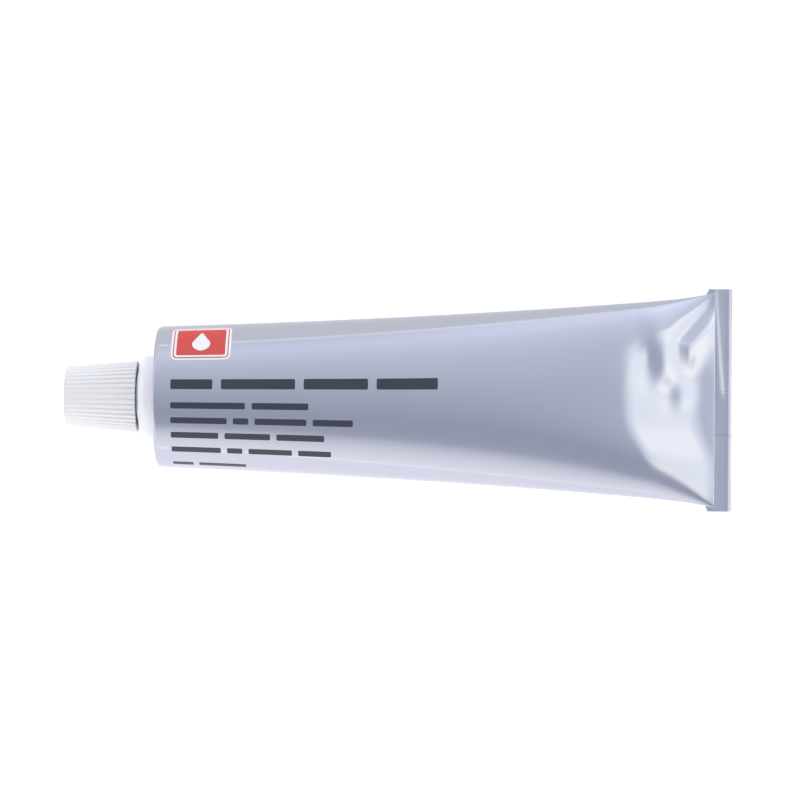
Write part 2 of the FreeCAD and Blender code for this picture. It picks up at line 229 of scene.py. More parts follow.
# Materials

def add_node(tree: NodeTree, kind: str, settings: Optional[dict] = None,
             links: Optional[dict] = None) -> Node:
    """Add a node, set its properties and sockets, and link what comes in.

    Args:
        tree: the node tree.
        kind: the node's type name.
        settings: property names, or socket names or numbers, and their values.
        links: socket names or numbers, and the output sockets that feed them.
    """
    node = tree.nodes.new(kind)
    for key, value in (settings or {}).items():
        if isinstance(key, str) and hasattr(node, key):
            setattr(node, key, value)
        else:
            node.inputs[key].default_value = value
    for key, source in (links or {}).items():
        tree.links.new(source, node.inputs[key])
    return node


def calculate(tree: NodeTree, operation: str, *values: float | NodeSocket) -> NodeSocket:
    """One step of arithmetic on numbers and sockets; the answer's socket comes back."""
    settings = {number: value for number, value in enumerate(values) if isinstance(value, (int, float))}
    links = {number: value for number, value in enumerate(values) if number not in settings}
    return add_node(tree, "ShaderNodeMath", {"operation": operation, **settings}, links).outputs[0]


def object_noise(tree: NodeTree, size_mm: float, detail: float) -> NodeSocket:
    """Noise that is fixed to the object, its swells about as large as the given size."""
    place = add_node(tree, "ShaderNodeTexCoord")
    noise = add_node(tree, "ShaderNodeTexNoise", {"Scale": 1 / (size_mm * MM), "Detail": detail},
                     {"Vector": place.outputs["Object"]})
    return noise.outputs["Fac"]


def bent_normal(tree: NodeTree, height: NodeSocket, depth_mm: float,
                under: Optional[NodeSocket] = None) -> NodeSocket:
    """A normal bent by a relief of the given depth, over another bent normal if there is one."""
    links = {"Height": height} if under is None else {"Height": height, "Normal": under}
    bump = add_node(tree, "ShaderNodeBump", {"Strength": 1.0, "Distance": depth_mm * MM}, links)
    return bump.outputs["Normal"]


def clouded(tree: NodeTree, noise: NodeSocket, middle: float, spread: float) -> NodeSocket:
    """A roughness that wavers about its middle as the noise does."""
    span = {"To Min": middle - spread / 2, "To Max": middle + spread / 2}
    return add_node(tree, "ShaderNodeMapRange", span, {"Value": noise}).outputs["Result"]


def new_material(name: str) -> tuple[Material, NodeTree, Node]:
    """A material with an empty tree but for its output, which comes back too."""
    material = bpy.data.materials.new(name)
    material.use_nodes = True
    tree = material.node_tree
    tree.nodes.clear()
    return material, tree, add_node(tree, "ShaderNodeOutputMaterial")


@dataclass(frozen=True)
class Finish:
    """A surface of one principled shader."""

    name: str

    def inputs(self, tree: NodeTree) -> tuple[dict, dict]:
        """Add what feeds the shader to the tree; the shader's settings and links come back."""
        raise NotImplementedError

    def build(self) -> Material:
        """The material."""
        material, tree, output = new_material(self.name)
        shader = add_node(tree, "ShaderNodeBsdfPrincipled", *self.inputs(tree))
        tree.links.new(shader.outputs["BSDF"], output.inputs["Surface"])
        return material


@dataclass(frozen=True)
class LacqueredFoil(Finish):
    """Thin rolled aluminium under a cool silver lacquer.

    The lacquer keeps the metal's mirror but softens it a little, and the thin wall is never quite
    flat, so reflections waver softly over centimetres and finely over tenths of a millimetre.
    """

    colour: str = "#D1D3DF"
    roughness: float = 0.14
    roughness_spread: float = 0.06
    swell_mm: float = 9.0
    swell_depth_mm: float = 0.012
    grain_mm: float = 0.35
    grain_depth_mm: float = 0.0006

    def inputs(self, tree: NodeTree) -> tuple[dict, dict]:
        """Two scales of unevenness and a clouded roughness."""
        swell = object_noise(tree, self.swell_mm, 1.0)
        soft = bent_normal(tree, swell, self.swell_depth_mm)
        fine = bent_normal(tree, object_noise(tree, self.grain_mm, 2.0), self.grain_depth_mm, soft)
        haze = clouded(tree, swell, self.roughness, self.roughness_spread)
        return {"Base Color": linear(self.colour), "Metallic": 1.0}, {"Roughness": haze, "Normal": fine}


@dataclass(frozen=True)
class MouldedPolyethylene(Finish):
    """White polyethylene from a mould: soft sheen, a faintly milky depth and a fine matt skin."""

    colour: str
    roughness: float
    roughness_spread: float = 0.1
    milkiness: float = 0.12
    milk_depth: float = 0.001
    refraction: float = 1.51
    grain_mm: float = 0.25
    grain_depth_mm: float = 0.004

    def inputs(self, tree: NodeTree) -> tuple[dict, dict]:
        """A mould's fine grain, in the relief and in the sheen, over a milky white."""
        grain = object_noise(tree, self.grain_mm, 3.0)
        skin = bent_normal(tree, grain, self.grain_depth_mm)
        sheen = clouded(tree, grain, self.roughness, self.roughness_spread)
        settings = {"Base Color": linear(self.colour), "IOR": self.refraction,
                    "Subsurface Weight": self.milkiness, "Subsurface Scale": self.milk_depth}
        return settings, {"Roughness": sheen, "Normal": skin}


@dataclass(frozen=True)
class PrintedInk(Finish):
    """Offset ink on the lacquer: an even film with a low gloss and a trace of pinholes."""

    colour: str
    roughness: float = 0.38
    roughness_spread: float = 0.12
    refraction: float = 1.48
    mottle_mm: float = 0.12

    def inputs(self, tree: NodeTree) -> tuple[dict, dict]:
        """A faint mottle in the film's gloss."""
        gloss = clouded(tree, object_noise(tree, self.mottle_mm, 1.0), self.roughness, self.roughness_spread)
        return {"Base Color": linear(self.colour), "IOR": self.refraction}, {"Roughness": gloss}


# Tube body

def smooth_min(first: np.ndarray, second: np.ndarray, blend: float) -> np.ndarray:
    """The lesser of two heights, with the corner between them rounded over a blend width."""
    spread = np.clip(0.5 + 0.5 * (second - first) / blend, 0.0, 1.0)
    return second * (1 - spread) + first * spread - blend * spread * (1 - spread)


def smoothstep(share: np.ndarray) -> np.ndarray:
    """A share from nought to one, eased at both ends."""
    clipped = np.clip(share, 0.0, 1.0)
    return clipped ** 2 * (3 - 2 * clipped)


def bell(distance: np.ndarray, reach: float) -> np.ndarray:
    """One where the distance is nought, falling off evenly on both sides over the reach."""
    return np.exp(-(distance / reach) ** 2)


@dataclass(frozen=True)
class Ruck:
    """A soft ruck in the foil: sunk on the side away from the crimp and raised as much towards it."""

    along: float
    across: float
    reach_along: float
    reach_across: float
    tilt: float

    def relief(self, along: np.ndarray, across: np.ndarray) -> np.ndarray:
        """How far the surface stands up at each place."""
        near = bell(along - self.along, self.reach_along) * bell(across - self.across, self.reach_across)
        return self.tilt * (along - self.along) * near


@dataclass(frozen=True)
class Pleat:
    """A kink in the foil along a bent line, with its own section across.

    The line runs from a corner of the crimp to its bend, and from there straight towards -Y. The
    distance from it counts as positive on the crimp's side. Softening is the spread of places
    whose heights are averaged.
    """

    corner: tuple[float, float]
    bend: tuple[float, float]
    distances: tuple[float, ...]
    heights: tuple[float, ...]
    low_end: float
    fade: float
    bend_blend: float = 0.6
    softening: tuple[float, ...] = (-0.6, -0.3, 0.0, 0.3, 0.6)

    def relief(self, along: np.ndarray, across: np.ndarray) -> np.ndarray:
        """How far the surface stands up at each place, its corners softened."""
        run = math.hypot(self.corner[0] - self.bend[0], self.corner[1] - self.bend[1])
        ahead = ((self.corner[0] - self.bend[0]) / run, (self.corner[1] - self.bend[1]) / run)
        slanted = (along - self.bend[0]) * ahead[1] - (across - self.bend[1]) * ahead[0]
        distance = smooth_min(slanted, along - self.bend[0], self.bend_blend)
        heights = [np.interp(distance + offset, self.distances, self.heights) for offset in self.softening]
        return sum(heights) / len(heights) * smoothstep((across - self.low_end + self.fade) / self.fade)


@dataclass
class TubeBody:
    """The filled foil body, from the neck's foot over the shoulder to the crimp line."""

    axes: TubeAxes
    diameter: float = 29.92
    length: float = 118.8
    rim_radius: float = 1.1
    crimp_fullness: float = 0.982
    early_widening: float = 0.49
    late_widening: float = 0.12
    late_power: float = 30.0
    flat_start: float = 43.0
    flat_power: float = 3.5
    flat_share: float = 0.95
    flat_softness: float = 0.2
    neck_radius: float = 5.5
    neck_overlap: float = 0.2
    shoulder_steps: int = 8
    rim_steps: int = 8
    land_front: float = 0.3
    land_back: float = 0.15
    columns: int = 400
    rows_to_press: int = 66
    rows_in_press: int = 150
    press_zone: float = 92.0
    press_start: float = 99.6
    press_run: float = 16.0
    press_room: float = 0.15
    press_blend: float = 0.3
    lens_start: float = 114.2
    lens_height: float = 1.25
    lens_spread: float = 1.9
    lens_half_width: float = 10.8
    relief_foot: float = 1.1
    front_pleat: Pleat = Pleat(
        corner=(118.4, 21.2), bend=(110.3, 12.4), distances=(-5.0, 0.0, 3.0, 9.0),
        heights=(0.0, -0.4, 0.4, 0.0), low_end=10.6, fade=6.6)
    front_rucks: tuple[Ruck, ...] = (
        Ruck(along=105.9, across=9.1, reach_along=3.8, reach_across=5.6, tilt=0.31),
        Ruck(along=110.2, across=1.2, reach_along=2.8, reach_across=3.2, tilt=0.18),
    )

    def half_width(self, along: np.ndarray) -> np.ndarray:
        """Half the width: radius, plus a growth that is linear, square and steep at the tail."""
        share = along / self.length
        radius = self.diameter / 2
        growth = math.pi * radius / 2 * self.crimp_fullness - radius
        early, late = self.early_widening, self.late_widening
        spread = early * share + (1 - early - late) * share ** 2 + late * share ** self.late_power
        return radius + growth * spread

    def flat_part(self, along: np.ndarray) -> np.ndarray:
        """Half the width of the nearly flat middle: a power of the way past its start."""
        run = np.maximum(along - self.flat_start, 0.0) / (self.length - self.flat_start)
        crimp = self.half_width(np.array(self.length))
        return self.flat_share * crimp * run ** self.flat_power

    def filled_height(self, along: np.ndarray) -> np.ndarray:
        """Half the height of the filled body, from a perimeter that stays that of the round tube."""
        flat = self.flat_part(along)
        limit = math.pi / 2 * (self.diameter / 2 - 2 * flat / math.pi)
        return (limit ** OVAL_POWER - (self.half_width(along) - flat) ** OVAL_POWER) ** (1 / OVAL_POWER)

    def pressed_front(self, along: np.ndarray, spread: np.ndarray) -> np.ndarray:
        """The front facet's height: a straight fall to the lens before the crimp, then a gentler one.

        Args:
            along: places along the tube.
            spread: how much nearer the crimp the first fall lies than in the middle.
        """
        top = self.filled_height(np.array(self.press_start))
        fall = (top - self.lens_height) / (self.lens_start - self.press_start)
        gentle = (self.lens_height - self.land_front) / (self.length - self.lens_start)
        lens = self.land_front + gentle * np.maximum(self.length - along, 0.0)
        facet = top - fall * (along - spread - self.press_start)
        return smooth_min(-facet, -lens, self.press_blend) * -1.0

    def pressed_back(self, along: np.ndarray) -> np.ndarray:
        """The back facet's height: a straight fall to the flat land at the crimp."""
        top = self.filled_height(np.array(self.press_start))
        fall = (top - self.land_back) / self.press_run
        return np.maximum(top - fall * (along - self.press_start), self.land_back)

    def lens(self, across: np.ndarray) -> np.ndarray:
        """The first fall's spread across the tube: the foil stays full into the crimp's corners."""
        return self.lens_spread * (1 - np.exp(-(np.abs(across) / self.lens_half_width) ** 3))

    def half_height(self, along: np.ndarray) -> np.ndarray:
        """Half the height: the filled body's, but no more than a little over the jaws' slope."""
        jaws = self.pressed_front(along, np.array(self.lens_spread)) + self.press_room
        return smooth_min(self.filled_height(along), jaws, self.press_blend)

    def oval(self, along: np.ndarray, angle: np.ndarray) -> np.ndarray:
        """The filled body's surface before any pressing.

        Across is the flat half-width times a softened sign of the cosine, plus the round part's
        half-width times the cosine; up is the half-height times the sine.
        """
        flat = self.flat_part(along)
        cosine = np.cos(angle)
        softness = self.flat_softness ** 2
        side = cosine * math.sqrt(1 + softness) / np.sqrt(cosine ** 2 + softness)
        across = flat * side + (self.half_width(along) - flat) * cosine
        return np.stack(np.broadcast_arrays(along, across, self.half_height(along) * np.sin(angle)), axis=-1)

    def even_angles(self, along: np.ndarray) -> np.ndarray:
        """For each row, the angles that space its columns evenly round the section."""
        dense = np.linspace(0, 2 * math.pi, FINE_STEPS)
        curve = self.oval(along[:, None], dense[None, :])
        steps = np.linalg.norm(np.diff(curve, axis=1), axis=-1)
        girth = np.concatenate([np.zeros((len(along), 1)), np.cumsum(steps, axis=1)], axis=1)
        share = np.arange(self.columns) / self.columns
        return np.stack([np.interp(share * total[-1], total, dense) for total in girth])

    def press(self, points: np.ndarray) -> np.ndarray:
        """Sink the front and back under their pressed faces and ruck the foil."""
        along, across, up = points[..., 0], points[..., 1], points[..., 2]
        front = self.pressed_front(along, self.lens(across))
        back = self.pressed_back(along)
        pressed = np.where(up > 0, smooth_min(up, front, self.press_blend),
                           -smooth_min(-up, back, self.press_blend))
        relief = self.front_pleat.relief(along, across)
        for ruck in self.front_rucks:
            relief = relief + ruck.relief(along, across)
        share = smoothstep(up / np.maximum(self.half_height(along), TINY))
        foot = 1 - np.exp(-np.maximum(self.length - along, 0.0) / self.relief_foot)
        pressed = pressed + relief * share * foot
        rounding = np.clip(np.abs(up) / self.press_blend, 0.0, 1.0)
        return np.stack([along, across, up + (pressed - up) * rounding], axis=-1)

    def surface(self, along: np.ndarray, angle: np.ndarray) -> np.ndarray:
        """The finished surface, pressed."""
        return self.press(self.oval(along, angle))

    def shoulder_rows(self) -> np.ndarray:
        """The flat shoulder and its rounded rim: circles that grow, then a quarter-round."""
        angle = 2 * math.pi * np.arange(self.columns) / self.columns
        inner = self.diameter / 2 - self.rim_radius
        flat_radius = np.linspace(self.neck_radius - self.neck_overlap, inner, self.shoulder_steps)
        turn = np.linspace(0, math.pi / 2, self.rim_steps + 2)[1:-1]
        radius = np.concatenate([flat_radius, inner + self.rim_radius * np.sin(turn)])
        along = np.concatenate([np.zeros(self.shoulder_steps), self.rim_radius * (1 - np.cos(turn))])
        return np.stack(np.broadcast_arrays(along[:, None], radius[:, None] * np.cos(angle),
                                            radius[:, None] * np.sin(angle)), axis=-1)

    def build(self, material: Material) -> Object:
        """The body as one grid, with its belly flattened on the ground."""
        first = np.linspace(self.rim_radius, self.press_zone, self.rows_to_press, endpoint=False)
        second = np.linspace(self.press_zone, self.length, self.rows_in_press)
        along = np.concatenate([first, second])
        wall = self.surface(along[:, None], self.even_angles(along))
        tail = wall[-1].copy()
        tail[:, 2] = (self.land_front - self.land_back) / 2
        rows = np.concatenate([self.shoulder_rows(), wall, tail[None]], axis=0)
        laid = self.axes.lay(rows)
        laid[..., 2] = np.maximum(laid[..., 2], 0.0)
        vertices, quads, fans = close_with_poles(laid, None, None)
        return make_object("tube_body", vertices, quads, fans, material)


# Round pieces

@dataclass(frozen=True)
class RoundProfile:
    """A profile in half-section, as rows of distance along the axis and radius."""

    along: np.ndarray
    radius: np.ndarray

    @classmethod
    def through(cls, corners: Sequence[tuple[float, float, float]], spacing: float = 0.25) -> "RoundProfile":
        """A path through corners, each rounded by its own radius.

        Each corner is a distance along the axis, a radius from it and a rounding. A rounding is
        an arc that touches both sides; the straight stretches are divided evenly.
        """
        points = [np.array(corner[:2], dtype=float) for corner in corners]
        path: list[np.ndarray] = [points[0][None]]
        for before, corner, after, spec in zip(points, points[1:], points[2:], corners[1:]):
            path.append(round_corner(before, corner, after, spec[2]))
        path.append(points[-1][None])
        joined = np.concatenate(path)
        filled = [joined[:1]]
        for start, end in zip(joined, joined[1:]):
            count = max(1, int(math.ceil(float(np.linalg.norm(end - start)) / spacing)))
            share = np.arange(1, count + 1)[:, None] / count
            filled.append(start + (end - start) * share)
        whole = np.concatenate(filled)
        return cls(along=whole[:, 0], radius=whole[:, 1])


def round_corner(before: np.ndarray, corner: np.ndarray, after: np.ndarray, radius: float) -> np.ndarray:
    """Points on an arc that touches both sides of a corner; the corner itself if unrounded."""
    if radius <= 0:
        return corner[None]
    into = (before - corner) / np.linalg.norm(before - corner)
    out = (after - corner) / np.linalg.norm(after - corner)
    half = math.acos(float(np.clip(into @ out, -1, 1))) / 2
    reach = radius / math.tan(half)
    centre = corner + (into + out) / np.linalg.norm(into + out) * radius / math.sin(half)
    first = corner + into * reach - centre
    last = corner + out * reach - centre
    sweep = math.pi - 2 * half
    steps = np.linspace(0, 1, ARC_STEPS)[:, None]
    blended = np.sin((1 - steps) * sweep) * first + np.sin(steps * sweep) * last
    return centre + blended / math.sin(sweep)


def turn_profile(profile: RoundProfile, columns: int, relief: Optional[Relief] = None) -> np.ndarray:
    """Turn a profile round the X axis, with an optional change of radius at each place.

    Args:
        profile: the half-section.
        columns: how many steps go round.
        relief: from distance along, radius and angle, how far the surface stands out.
    """
    angle = 2 * math.pi * np.arange(columns) / columns
    along, radius, turn = np.broadcast_arrays(profile.along[:, None], profile.radius[:, None], angle[None, :])
    if relief is not None:
        radius = radius + relief(along, radius, turn)
    return np.stack([along, radius * np.cos(turn), radius * np.sin(turn)], axis=-1)


@dataclass(frozen=True)
class Thread:
    """A right-hand screw thread along the axis, its ridge a rounded wave."""

    pitch: float = 1.5
    depth: float = 0.5
    steepness: float = 0.9
    run_out: float = 0.6

    def wave(self, along: np.ndarray, angle: np.ndarray) -> np.ndarray:
        """One at the ridge's top and nought in the valley: a flattened cosine of the helix."""
        phase = 2 * math.pi * along / self.pitch + angle
        return np.clip(0.5 + self.steepness * np.cos(phase), 0.0, 1.0)

    def cut(self, along: np.ndarray, angle: np.ndarray, start: float, end: float) -> np.ndarray:
        """How deep the valleys are, from a start to an end before the shoulder, run out at both."""
        ahead = np.clip((-along - start) / self.run_out, 0.0, 1.0)
        behind = np.clip((end + along) / self.run_out, 0.0, 1.0)
        return self.depth * (1 - self.wave(along, angle)) * ahead * behind


@dataclass
class Neck:
    """The threaded neck, closed by its membrane."""

    axes: TubeAxes
    thread: Thread
    radius: float = 5.5
    length: float = 12.0
    mouth_radius: float = 3.75
    membrane_depth: float = 0.4
    thread_start: float = 4.2
    end_margin: float = 0.7
    outside_margin: float = 0.01
    foot_depth: float = 0.05
    pole_radius: float = 0.05
    columns: int = 160

    def relief(self, along: np.ndarray, radius: np.ndarray, angle: np.ndarray) -> np.ndarray:
        """Valleys of the thread, cut below the neck's radius between its two ends."""
        outside = radius > self.radius - self.outside_margin
        return -self.thread.cut(along, angle, self.thread_start, self.length - self.end_margin) * outside

    def build(self, material: Material) -> Object:
        """The neck from inside the shoulder to the membrane's centre."""
        profile = RoundProfile.through([
            (self.foot_depth, self.radius, 0.0),
            (-self.length, self.radius, 0.35),
            (-self.length, self.mouth_radius, 0.15),
            (-self.length + self.membrane_depth, self.mouth_radius, 0.15),
            (-self.length + self.membrane_depth, self.pole_radius, 0.0),
        ], spacing=0.14)
        grid = self.axes.lay(turn_profile(profile, self.columns, self.relief))
        pole = self.axes.lay(np.array([-self.length + self.membrane_depth, 0.0, 0.0]))
        foot = self.axes.lay(np.array([self.foot_depth, 0.0, 0.0]))
        vertices, quads, fans = close_with_poles(grid, foot, pole)
        return make_object("tube_neck", vertices, quads, fans, material)


@dataclass
class Collar:
    """The moulded ring on the shoulder, with softened edges."""

    axes: TubeAxes
    bore_radius: float = 5.6
    radius: float = 8.78
    length: float = 3.56
    chamfer: float = 1.1
    back_gap: float = 0.01
    columns: int = 192

    def build(self, material: Material) -> Object:
        """A closed ring: bore, back face on the shoulder, outside, chamfer and front face."""
        middle = -self.length / 2
        profile = RoundProfile.through([
            (middle, self.bore_radius, 0.0),
            (-self.back_gap, self.bore_radius, 0.1),
            (-self.back_gap, self.radius, 0.25),
            (-self.length + self.chamfer, self.radius, 0.7),
            (-self.length, self.radius - self.chamfer, 0.45),
            (-self.length, self.bore_radius, 0.15),
            (middle, self.bore_radius, 0.0),
        ], spacing=0.3)
        rows = turn_profile(profile, self.columns)[:-1]
        grid = self.axes.lay(rows)
        vertices = grid.reshape(-1, 3)
        count = grid.shape[0]
        quads = grid_quads(count, self.columns, wrap=True)
        turn = np.arange(self.columns)
        following = (turn + 1) % self.columns
        last = (count - 1) * self.columns
        seam = np.stack([last + turn, last + following, following, turn], axis=-1)
        quads = facing_out(vertices, np.concatenate([quads, seam]))
        return make_object("collar_ring", vertices, quads, [], material)


@dataclass
class ScrewCap:
    """The tapered cap: ribbed outside, threaded bore, and a spike in the well of its end."""

    axes: TubeAxes
    thread: Thread
    mouth_place: float = 4.16
    length: float = 15.24
    mouth_radius: float = 7.65
    end_radius: float = 6.3
    corner_radius: float = 1.0
    bore_radius: float = 5.7
    bore_end: float = 13.1
    lead_in: float = 0.5
    well_radius: float = 4.2
    well_depth: float = 4.6
    spike_radius: float = 1.5
    spike_recess: float = 0.8
    ribs: int = 42
    groove_depth: float = 0.32
    groove_end_depth: float = 0.07
    valley_power: float = 2.2
    thread_lead: float = 0.9
    thread_tail: float = 1.6
    thread_share: float = 0.8
    groove_edge: float = 0.15
    groove_end_run: float = 0.9
    bore_margin: float = 0.01
    bore_end_margin: float = 0.05
    well_margin: float = 0.5
    steps_per_rib: int = 10

    @property
    def end_place(self) -> float:
        """How far the cap's outer end lies from the shoulder."""
        return self.mouth_place + self.length

    def relief(self, along: np.ndarray, radius: np.ndarray, angle: np.ndarray) -> np.ndarray:
        """Grooves outside and thread ridges inside.

        A groove is a power of a raised cosine of the angle, and gets evenly shallower from the
        mouth to the end. A thread ridge stands in from the bore where the neck's thread has
        its valleys.
        """
        share = np.clip((-along - self.mouth_place) / self.length, 0.0, 1.0)
        depth = self.groove_depth + (self.groove_end_depth - self.groove_depth) * share
        beyond_lip = radius - self.bore_radius - self.lead_in + self.groove_edge
        outside = np.clip(beyond_lip / (2 * self.groove_edge), 0.0, 1.0)
        at_end = np.clip((self.end_place + along) / (self.groove_end_run * self.corner_radius), 0.0, 1.0)
        valley = (0.5 + 0.5 * np.cos(self.ribs * angle)) ** self.valley_power
        inside = ((radius < self.bore_radius + self.bore_margin)
                  & (radius > self.well_radius + self.well_margin)
                  & (-along < self.bore_end - self.bore_end_margin))
        ridge = self.thread_share * self.thread.cut(
            along, angle, self.mouth_place + self.thread_lead, self.bore_end - self.thread_tail)
        return -depth * valley * outside * at_end - ridge * inside

    def build(self, material: Material) -> Object:
        """One closed shell from the bore's end, over the mouth and outside, to the spike's tip."""
        floor = -self.end_place + self.well_depth
        profile = RoundProfile.through([
            (-self.bore_end, 0.05, 0.0),
            (-self.bore_end, self.bore_radius, 0.3),
            (-self.mouth_place - self.lead_in, self.bore_radius, 0.1),
            (-self.mouth_place, self.bore_radius + self.lead_in, 0.1),
            (-self.mouth_place, self.mouth_radius, 0.22),
            (-self.end_place, self.end_radius, self.corner_radius),
            (-self.end_place, self.well_radius, 0.3),
            (floor, self.well_radius, 0.3),
            (floor, self.spike_radius, 0.2),
            (-self.end_place + self.spike_recess, 0.04, 0.0),
        ], spacing=0.27)
        grid = self.axes.lay(turn_profile(profile, self.ribs * self.steps_per_rib, self.relief))
        inner = self.axes.lay(np.array([-self.bore_end, 0.0, 0.0]))
        tip = self.axes.lay(np.array([-self.end_place + self.spike_recess, 0.0, 0.0]))
        vertices, quads, fans = close_with_poles(grid, inner, tip)
        return make_object("ribbed_cap", vertices, quads, fans, material)


# Folded tail

@dataclass(frozen=True)
class StripRelief:
    """How the pressed strip wavers, in millimetres.

    Long slow waves and quicker ones, a slight fall all over, a diagonal crease that falls towards
    the end, a bead along the outer fold, a step, two score lines and the crinkle beside them.
    """

    slow_wave: tuple[float, float, float] = (0.03, 5.3, 0.6)
    quick_wave: tuple[float, float, float] = (0.014, 2.1, 1.7)
    fall: float = 0.06
    crease_drop: float = 0.13
    crease_top: float = 22.5
    crease_slant: float = 12.0
    crease_reach: float = 0.45
    crease_end: tuple[float, float] = (0.8, 0.5)
    bead: tuple[float, float, float] = (0.13, 0.85, 0.32)
    step: tuple[float, float, float] = (0.03, -7.4, 0.15)
    score_height: float = 0.035
    score_reach: float = 0.14
    score_places: tuple[float, ...] = (1.4, 2.05)
    crinkle: tuple[float, float, float] = (0.012, -0.4, 1.7)
    crinkle_turns: tuple[float, float, float] = (9.0, 4.0, 7.0)

    def height(self, along: np.ndarray, across: np.ndarray, inset: np.ndarray) -> np.ndarray:
        """How far the strip stands up at each place.

        Args:
            along: distance from the shoulder.
            across: distance from the middle.
            inset: distance along from the crimp.
        """
        depth, length, phase = self.slow_wave
        total = depth * np.sin(across / length + phase)
        depth, length, slant = self.quick_wave
        total = total + depth * np.sin(across / length + along / slant)
        beyond = np.maximum(inset, 0.0)
        crease = np.tanh((beyond - (self.crease_top - across) / self.crease_slant) / self.crease_reach)
        end, softness = self.crease_end
        upper_part = 1 / (1 + np.exp(-(across - end) / softness))
        total = total - self.fall * beyond - self.crease_drop * crease * upper_part
        depth, place, reach = self.step
        total = total + depth * np.tanh((across - place) / reach)
        scores = sum(bell(across - place, self.score_reach) for place in self.score_places)
        total = total + self.score_height * scores
        depth, place, reach = self.crinkle
        first, second, third = self.crinkle_turns
        ripple = np.sin(across * first + along * second) * np.sin(along * third)
        return total + depth * ripple * bell(across - place, reach)


@dataclass
class FoldedTail:
    """The tail strip: two pressed walls that turn back under themselves and tuck in again."""

    axes: TubeAxes
    crimp: float = 118.8
    strip_length: float = 3.7
    flap_length: float = 6.0
    wall: float = 0.15
    gap: float = 0.05
    width: float = 47.42
    cut_along: float = 0.9
    cut_across: float = 2.1
    rows: int = 480
    bend_steps: int = 14
    layer_steps: int = 16
    tuck_steps: int = 14
    lead_in: float = 0.6
    slant_share: float = 0.7
    relief: StripRelief = StripRelief()

    def centre_line(self) -> tuple[np.ndarray, np.ndarray]:
        """The ribbon's middle in side view, and the unit vectors across its thickness.

        Front layer, half-circle down, back layer, small half-circle up, tucked layer.
        """
        step = 2 * self.wall + self.gap
        end = self.crimp + self.strip_length
        start = end - self.flap_length
        large = step
        small = step / 2
        right = end - large - self.wall
        left = start + small + self.wall
        run = np.linspace(self.crimp - self.lead_in, right, self.layer_steps, endpoint=False)
        front = np.stack([run, np.zeros_like(run)], axis=-1)
        turn = np.linspace(math.pi / 2, -math.pi / 2, self.bend_steps)
        outer = np.stack([right + large * np.cos(turn), -large + large * np.sin(turn)], axis=-1)
        run = np.linspace(right, left, self.layer_steps)[1:-1]
        back = np.stack([run, np.full_like(run, -2 * large)], axis=-1)
        turn = np.linspace(-math.pi / 2, -3 * math.pi / 2, self.bend_steps)
        inner = np.stack([left + small * np.cos(turn), -2 * large + small + small * np.sin(turn)], axis=-1)
        run = np.linspace(left, right - self.gap, self.tuck_steps)[1:]
        tuck = np.stack([run, np.full_like(run, -large)], axis=-1)
        line = np.concatenate([front, outer, back, inner, tuck])
        heading = np.gradient(line, axis=0)
        heading = heading / np.linalg.norm(heading, axis=-1, keepdims=True)
        return line, np.stack([-heading[:, 1], heading[:, 0]], axis=-1)

    def unevenness(self, along: np.ndarray, across: np.ndarray) -> np.ndarray:
        """The strip's relief, with the bead along its outer fold."""
        height, inset, reach = self.relief.bead
        bead = height * bell(along - self.crimp - self.strip_length + inset, reach)
        return self.relief.height(along, across, along - self.crimp) + bead

    def build(self, material: Material) -> Object:
        """The ribbon carried across the tube, its back corners slanted and its ends closed."""
        line, normal = self.centre_line()
        upper = line + normal * self.wall
        lower = line - normal * self.wall
        loop = np.concatenate([upper, lower[::-1]])
        across = np.linspace(-self.width / 2, self.width / 2, self.rows)
        overrun = np.clip((np.abs(across) - self.width / 2 + self.cut_across) / self.cut_across, 0.0, 1.0)
        start = self.crimp + self.strip_length - self.flap_length
        rear = np.clip(1 - (loop[:, 0] - start) / (self.slant_share * self.flap_length), 0.0, 1.0)
        rear = rear * (loop[:, 1] < -self.wall - self.gap / 2)
        along = loop[None, :, 0] + self.cut_along * overrun[:, None] * rear[None, :]
        spread = np.broadcast_to(across[:, None], along.shape)
        fade = np.clip((along - self.crimp + self.lead_in) / (2 * self.lead_in), 0.0, 1.0)
        up = loop[None, :, 1] + self.unevenness(along, spread) * fade
        grid = self.axes.lay(np.stack([along, spread, up], axis=-1))
        vertices = grid.reshape(-1, 3)
        columns = len(loop)
        quads = grid_quads(self.rows, columns, wrap=True)
        half = len(line)
        number = np.arange(half - 1)
        side = np.stack([number, number + 1, columns - 2 - number, columns - 1 - number], axis=-1)
        far = side[:, ::-1] + (self.rows - 1) * columns
        quads = facing_out(vertices, np.concatenate([quads, side, far]))
        return make_object("folded_tail", vertices, quads, [], material, crease=40.0)


# Print

@dataclass(frozen=True)
class PrintBar:
    """A field of ink with rounded ends: its start and end along the tube, and its two edges.

    The edges are measured round the tube from its top, towards +Y, in millimetres.
    """

    start: float
    end: float
    low: float
    high: float
    rounding: float = SMALL_ROUNDING

    def inset(self, margin: float) -> "PrintBar":
        """The same field, drawn in by a margin all round."""
        return PrintBar(start=self.start + margin, end=self.end - margin, low=self.low + margin,
                        high=self.high - margin, rounding=max(self.rounding - margin, SMALL_ROUNDING))


@dataclass(frozen=True)
class PrintLine:
    """A line of print as a row of bars of like height."""

    low: float
    high: float
    words: tuple[tuple[float, float], ...]


